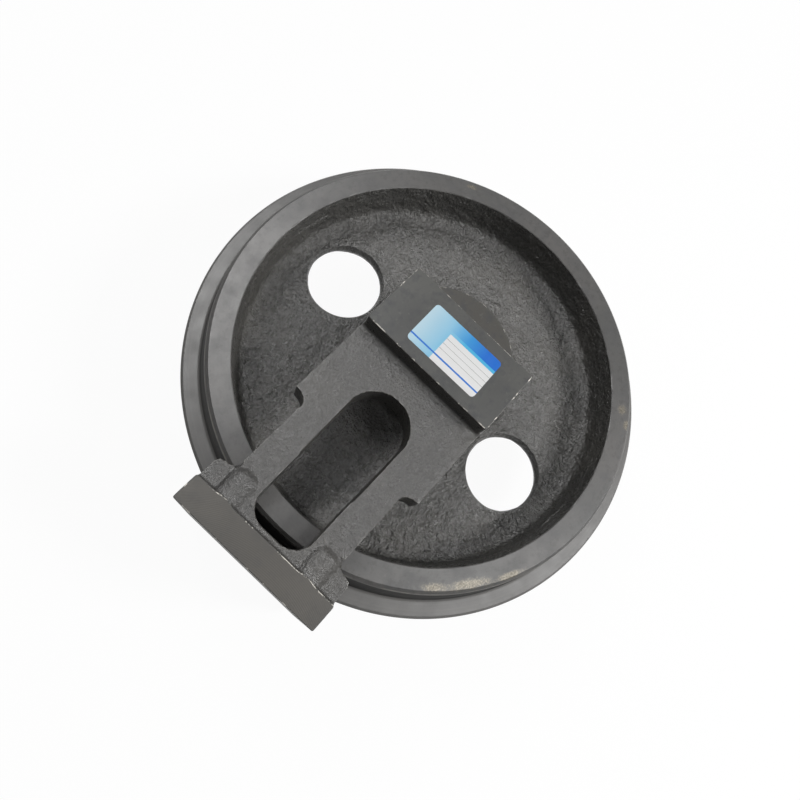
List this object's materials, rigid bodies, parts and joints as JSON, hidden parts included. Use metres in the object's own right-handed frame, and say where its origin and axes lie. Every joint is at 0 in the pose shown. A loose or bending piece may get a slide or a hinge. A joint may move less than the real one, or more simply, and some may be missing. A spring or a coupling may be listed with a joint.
{
  "type": "excavator front idler",
  "caption": "Flanged cast idler wheel turning on a fixed shaft in a windowed fork with guide pads and an end wall.",
  "frame": {"origin": "middle of the bounding box in X and Y, at the outer face of the lower guide pad", "axes": "+Z along the wheel's axis, from the open lower guide pad to the closed upper one; +X from the wheel's axis to the fork's end wall"},
  "size_m": [0.4766, 0.46, 0.193],
  "materials": {
    "charcoal_casting": "satin black primer over sand-cast skin",
    "charcoal_machined": "satin black primer over turned faces",
    "ground_steel": "ground",
    "bronze": "turned",
    "seal_iron": "lapped",
    "rubber": "matte",
    "copper": "soft",
    "zinc": "zinc plated"
  },
  "bodies": {
    "fork_body": {"fork": "charcoal_casting", "shaft": "ground_steel", "fork_seal_ring_upper": "seal_iron", "fork_toric_upper": "rubber", "shaft_oring_upper": "rubber", "lock_pin_upper": "ground_steel", "lock_plug_upper": "zinc", "fork_seal_ring_lower": "seal_iron", "fork_toric_lower": "rubber", "shaft_oring_lower": "rubber", "lock_pin_lower": "ground_steel", "lock_plug_lower": "zinc", "oil_plug": "zinc", "oil_plug_washer": "copper"},
    "wheel_body": {"wheel": "charcoal_machined", "bushing_upper": "bronze", "wheel_seal_ring_upper": "seal_iron", "wheel_toric_upper": "rubber", "bushing_lower": "bronze", "wheel_seal_ring_lower": "seal_iron", "wheel_toric_lower": "rubber"}
  },
  "joints": [
    {"name": "wheel_spin", "type": "hinge", "parent": "fork_body", "child": "wheel_body", "pos_m": [-0.00825, 0, 0.0965], "axis": [0, 0, 1], "continuous": true}
  ]
}
